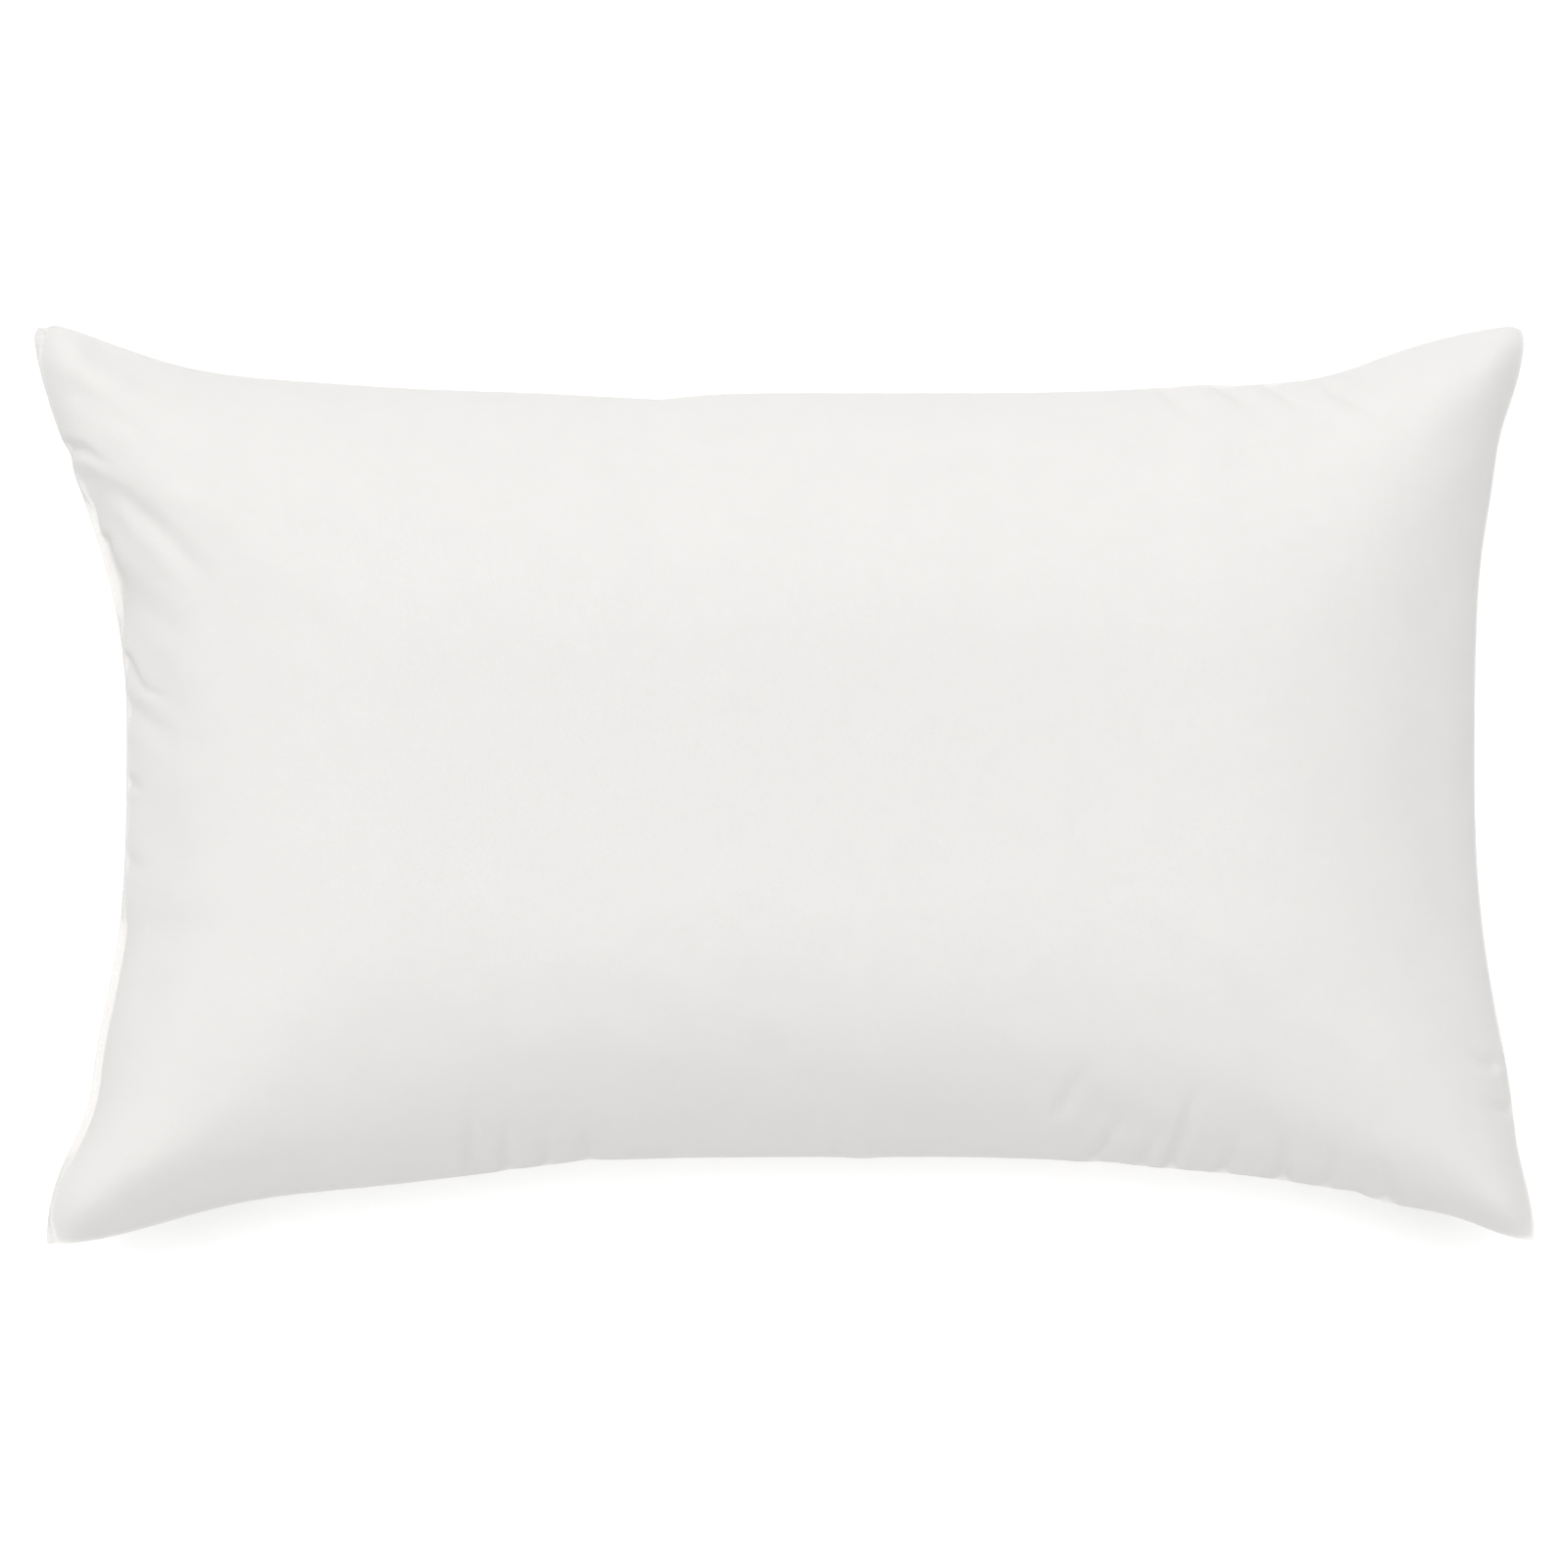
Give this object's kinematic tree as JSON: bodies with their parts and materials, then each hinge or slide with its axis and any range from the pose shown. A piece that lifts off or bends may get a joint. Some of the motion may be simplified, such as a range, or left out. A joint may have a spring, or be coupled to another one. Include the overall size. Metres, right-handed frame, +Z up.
{
  "type": "bed pillow",
  "caption": "Rectangular bed pillow: woven cotton casing with dog-ear corners, three turned seams, a flat edge-stitched closing seam, a care label and loose fibre fill.",
  "frame": {"origin": "middle of the pillow's box, on the surface that it rests on", "axes": "+X along the pillow's length, away from the closing seam; +Y along its width; +Z up through its thickness"},
  "size_m": [0.7919, 0.4859, 0.18],
  "materials": {
    "cotton": "fine plain-woven cotton, warm white",
    "fibre": "loose hollow polyester fibre, white",
    "thread": "spun polyester sewing thread, white",
    "satin": "blank white satin ribbon, slight sheen"
  },
  "bodies": {
    "pillow": {"casing_top_panel": "cotton", "casing_bottom_panel": "cotton", "fibre_fill": "fibre", "overlock_needle_thread": "thread", "overlock_upper_looper_thread": "thread", "overlock_lower_looper_thread": "thread", "closing_needle_thread": "thread", "closing_bobbin_thread": "thread", "care_label_sewn_edge": "satin"},
    "label": {"care_label": "satin"}
  },
  "joints": [
    {"name": "label_flap", "type": "hinge", "parent": "pillow", "child": "label", "pos_m": [-0.35163, -0.09624, 0.0804], "axis": [0.1859, 0.9826, 0], "range_deg": [-12, 90]}
  ]
}
